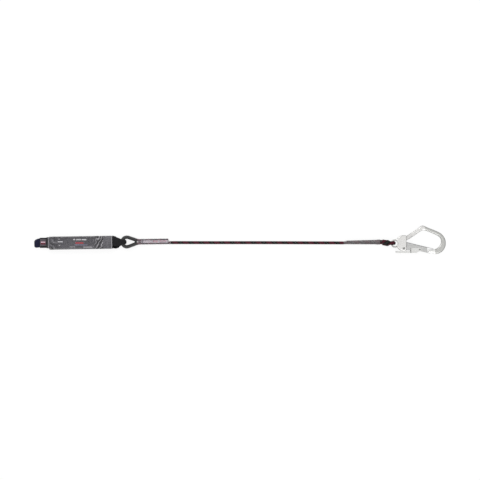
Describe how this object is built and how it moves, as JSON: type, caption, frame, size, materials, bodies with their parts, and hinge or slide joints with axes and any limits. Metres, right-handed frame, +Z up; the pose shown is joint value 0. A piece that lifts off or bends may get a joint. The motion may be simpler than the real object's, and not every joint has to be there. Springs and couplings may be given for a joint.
{
  "type": "shock absorbing rope lanyard",
  "caption": "Fall protection lanyard: covered webbing shock absorber with an anchor loop, thimble and rope splice, sleeved rope, and a large scaffold hook with a locking gate.",
  "frame": {"origin": "middle of the absorber pack's flat underside, on the surface that the lanyard lies on", "axes": "+X along the lanyard from the absorber pack towards the hook, +Z up out of the surface, +Y across the pack"},
  "size_m": [1.7973, 0.1247, 0.038],
  "materials": {
    "navy_webbing": "tightly woven navy polyester webbing",
    "black_webbing": "tightly woven black polyester webbing",
    "woven_label": null,
    "clear_cover": "clear shrink film, slightly smoky",
    "grey_webbing": "folded dark grey tear webbing",
    "pale_band": "paler binding tape",
    "printed_card": null,
    "moulded_nylon": "black moulded nylon",
    "kernmantle_rope": "braided rope sheath, black with maroon bands and a grey tracer",
    "clear_sleeve": "clear shrink tube",
    "pale_tag": null,
    "grey_sleeve": "smoky grey shrink tube",
    "satin_alloy": "satin polished forged alloy",
    "plated_sheet_steel": "plated pressed steel sheet",
    "spring_steel": "bare steel pins and springs"
  },
  "bodies": {
    "absorber": {"anchor_loop": "navy_webbing", "loop_keeper": "black_webbing", "loop_label": "woven_label", "pack_cover": "clear_cover", "tear_webbing": "grey_webbing", "binding_band": "pale_band", "pack_insert": "printed_card", "link_loop": "black_webbing"},
    "rope": {"thimble": "moulded_nylon", "rope_eye_left": "kernmantle_rope", "left_sleeve": "clear_sleeve", "sleeve_label": "pale_tag", "rope": "kernmantle_rope", "right_sleeve": "grey_sleeve", "rope_eye_right": "kernmantle_rope", "eye_wear_sleeve": "kernmantle_rope"},
    "hook": {"hook_frame": "satin_alloy", "gate_rivet": "spring_steel"},
    "gate": {"gate": "plated_sheet_steel", "gate_spring": "spring_steel", "lever_pin": "spring_steel"},
    "lever": {"lock_lever": "plated_sheet_steel", "lever_spring": "spring_steel"}
  },
  "joints": [
    {"name": "thimble_swing", "type": "hinge", "parent": "absorber", "child": "rope", "pos_m": [0.17918, 0.00281, 0.019], "axis": [-0.0157, 0.9999, 0], "range_deg": [-45, 45]},
    {"name": "hook_swing", "type": "hinge", "parent": "rope", "child": "hook", "pos_m": [1.35373, -0.0036, 0.0183], "axis": [0, 1, 0], "range_deg": [-80, 80]},
    {"name": "gate_swing", "type": "hinge", "parent": "hook", "child": "gate", "pos_m": [1.40587, -0.0245, 0.01572], "axis": [0.0494, 0, 0.9988], "range_deg": [0, 34], "stiffness_Nm_per_rad": 0.3, "springref_deg": -28.65, "deforming": ["gate_spring"]},
    {"name": "lever_squeeze", "type": "hinge", "parent": "gate", "child": "lever", "pos_m": [1.47599, -0.0293, 0.01225], "axis": [-0.0494, 0, -0.9988], "range_deg": [0, 2.5], "stiffness_Nm_per_rad": 0.5, "springref_deg": -17.19, "deforming": ["lever_spring"]}
  ]
}
